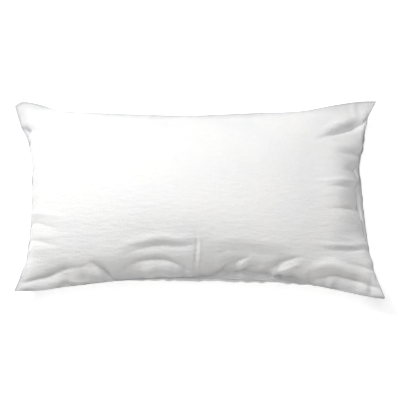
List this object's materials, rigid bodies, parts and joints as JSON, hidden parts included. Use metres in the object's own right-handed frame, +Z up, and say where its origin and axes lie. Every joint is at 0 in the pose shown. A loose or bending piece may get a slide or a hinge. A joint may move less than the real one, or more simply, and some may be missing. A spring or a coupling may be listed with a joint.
{
  "type": "bed pillow",
  "caption": "Plump rectangular bed pillow lying flat, in a white woven cotton cover with knife-edge seams, drawn-in sides and soft pointed corners.",
  "frame": {"origin": "on the surface that the pillow rests on, under the middle of its box", "axes": "+X along the pillow's length, +Y from the front long seam to the rear one, +Z up through its thickness"},
  "size_m": [0.8922, 0.498, 0.1862],
  "materials": {
    "ticking": "fine matt plain weave",
    "fibre": "soft loose polyester fibre",
    "sewing_thread": "matt spun thread"
  },
  "bodies": {
    "root": {"upper_panel": "ticking", "lower_panel": "ticking", "fibre_fill": "fibre", "left_seam_thread": "sewing_thread", "right_seam_thread": "sewing_thread", "front_seam_thread": "sewing_thread", "rear_seam_thread": "sewing_thread", "left_overlock_thread": "sewing_thread", "right_overlock_thread": "sewing_thread", "front_overlock_thread": "sewing_thread", "rear_overlock_thread": "sewing_thread", "closing_needle_thread": "sewing_thread", "closing_bobbin_thread": "sewing_thread"}
  },
  "joints": []
}
